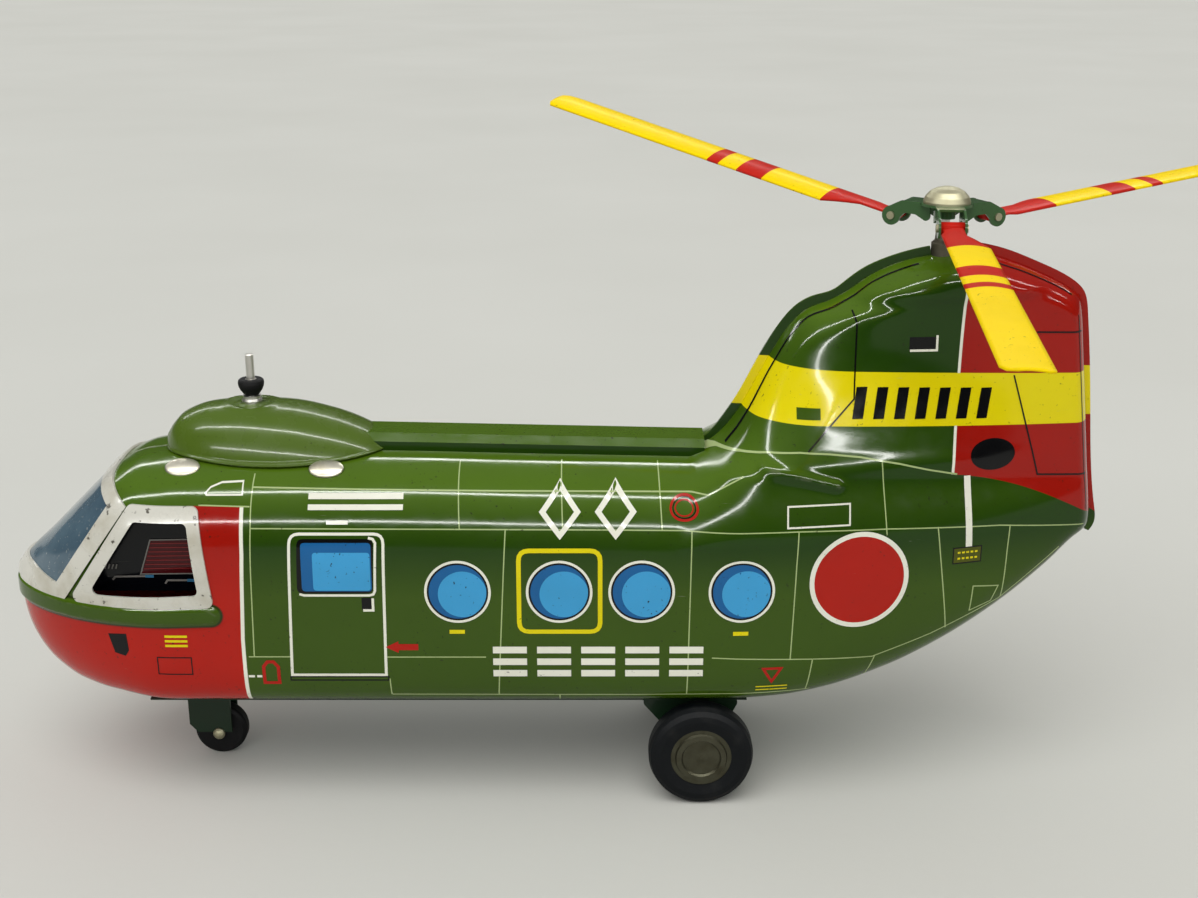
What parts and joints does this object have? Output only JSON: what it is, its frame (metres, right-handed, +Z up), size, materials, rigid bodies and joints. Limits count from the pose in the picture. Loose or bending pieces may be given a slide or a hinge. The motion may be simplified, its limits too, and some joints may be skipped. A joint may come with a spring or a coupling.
{
  "type": "toy helicopter",
  "caption": "Pressed-tin toy tandem-rotor helicopter with geared rotor shafts, hinged blades, rolling wheels, steerable nose leg and belly battery bay.",
  "frame": {"origin": "on the ground under the nose wheel, in the plane of symmetry", "axes": "+X from nose to tail, +Y to the helicopter's right side, +Z up; the helicopter stands on its wheels"},
  "size_m": [0.4918, 0.2658, 0.2401],
  "materials": {
    "black_wire": "satin",
    "blue_wire": "satin",
    "brass": "machined",
    "cab_card": "printed tin",
    "cell": "printed jacket",
    "cream_tin": "worn enamel",
    "dark_tin": "semi-gloss enamel",
    "green_tin": "glossy lithographed tin",
    "hub_metal": "aged bronze grey",
    "nickel": "nickel plated, slightly dull",
    "red_tin": "glossy lithographed tin",
    "red_wire": "satin",
    "rubber": "matt",
    "screen_glass": "smoky clear sheet",
    "steel": "bright",
    "tyre": "matt",
    "white_plastic": "matt",
    "yellow_tin": "glossy lithographed tin"
  },
  "bodies": {
    "airframe": {"battery_1": "cell", "battery_2": "cell", "battery_box": "white_plastic", "battery_contact_front": "nickel", "battery_contact_rear": "nickel", "battery_spring_rear": "nickel", "belly_plate": "dark_tin", "belly_screws": "steel", "door_hinge_pin": "steel", "drive_frame": "steel", "fairing_lugs": "nickel", "front_bushing": "steel", "front_fairing": "green_tin", "left_body_shell": "green_tin", "left_cab_panel": "cab_card", "left_cab_window_frame": "cream_tin", "main_strut_left": "dark_tin", "main_strut_right": "dark_tin", "motor_bracket": "steel", "motor_can": "steel", "pylon_front_flange": "green_tin", "pylon_rear_flange": "red_tin", "rear_bushing": "steel", "right_body_shell": "green_tin", "right_cab_panel": "cab_card", "right_cab_window_frame": "cream_tin", "spine_cover": "green_tin", "switch_body": "black_wire", "windscreen_frame": "cream_tin", "windscreen_glass": "screen_glass", "wire_black": "black_wire", "wire_blue": "blue_wire", "wire_red": "red_wire"},
    "rear_rotor": {"rear_rotor_shaft": "steel", "rear_crown_gear": "brass", "rotor_hub": "green_tin", "hub_cap": "nickel", "blade_pins": "nickel"},
    "near_blade": {"blade_near": "yellow_tin"},
    "left_blade": {"blade_left": "yellow_tin"},
    "right_blade": {"blade_right": "yellow_tin"},
    "front_rotor": {"front_rotor_shaft": "steel", "front_crown_gear": "brass", "front_shaft_collar": "rubber"},
    "line_drive": {"line_shaft": "steel", "line_pinions": "brass", "drive_wheel": "white_plastic"},
    "motor_rotor": {"motor_shaft": "steel", "motor_pinion": "brass"},
    "main_wheels": {"main_axle": "steel", "main_tyre_left": "tyre", "main_tyre_right": "tyre", "main_hub_left": "hub_metal", "main_hub_right": "hub_metal"},
    "nose_leg": {"nose_fork": "dark_tin", "nose_kingpin": "steel", "nose_axle": "nickel"},
    "nose_roller": {"nose_wheel": "rubber"},
    "door": {"battery_door": "dark_tin"},
    "switch": {"switch_slider": "white_plastic"}
  },
  "joints": [
    {"name": "rear_rotor_spin", "type": "hinge", "parent": "airframe", "child": "rear_rotor", "pos_m": [0.267, 0, 0.208], "axis": [0, 0, 1], "continuous": true},
    {"name": "front_rotor_spin", "type": "hinge", "parent": "airframe", "child": "front_rotor", "pos_m": [0.0205, 0, 0.15], "axis": [0, 0, 1], "continuous": true},
    {"name": "line_shaft_spin", "type": "hinge", "parent": "airframe", "child": "line_drive", "pos_m": [0.166, 0, 0.094], "axis": [1, 0, 0], "continuous": true},
    {"name": "motor_spin", "type": "hinge", "parent": "airframe", "child": "motor_rotor", "pos_m": [0.166, 0, 0.078], "axis": [1, 0, 0], "continuous": true},
    {"name": "near_blade_flap", "type": "hinge", "parent": "rear_rotor", "child": "near_blade", "pos_m": [0.26527, -0.01862, 0.208], "axis": [-0.9957, 0.0924, 0], "range_deg": [-5, 25]},
    {"name": "left_blade_flap", "type": "hinge", "parent": "rear_rotor", "child": "left_blade", "pos_m": [0.25174, 0.01081, 0.208], "axis": [0.5779, 0.8161, 0], "range_deg": [-20, 10]},
    {"name": "right_blade_flap", "type": "hinge", "parent": "rear_rotor", "child": "right_blade", "pos_m": [0.28399, 0.00781, 0.208], "axis": [0.4179, -0.9085, 0], "range_deg": [-13.4, 16.6]},
    {"name": "main_wheel_spin", "type": "hinge", "parent": "airframe", "child": "main_wheels", "pos_m": [0.183, 0, 0.019], "axis": [0, 1, 0], "continuous": true},
    {"name": "nose_leg_swivel", "type": "hinge", "parent": "airframe", "child": "nose_leg", "pos_m": [-0.003, 0, 0.034], "axis": [0, 0, 1], "range_deg": [-25, 25]},
    {"name": "nose_wheel_spin", "type": "hinge", "parent": "nose_leg", "child": "nose_roller", "pos_m": [0, 0, 0.01], "axis": [0, 1, 0], "continuous": true},
    {"name": "battery_door_hinge", "type": "hinge", "parent": "airframe", "child": "door", "pos_m": [0.0554, 0, 0.0344], "axis": [0, 1, 0], "range_deg": [0, 95]},
    {"name": "switch_slide", "type": "slide", "parent": "airframe", "child": "switch", "axis": [1, 0, 0], "range_m": [0, 0.006]}
  ],
  "couplings": [
    {"joint": "front_rotor_spin", "follows": "rear_rotor_spin", "ratio": -1},
    {"joint": "line_shaft_spin", "follows": "rear_rotor_spin", "ratio": 3},
    {"joint": "motor_spin", "follows": "rear_rotor_spin", "ratio": -9}
  ]
}
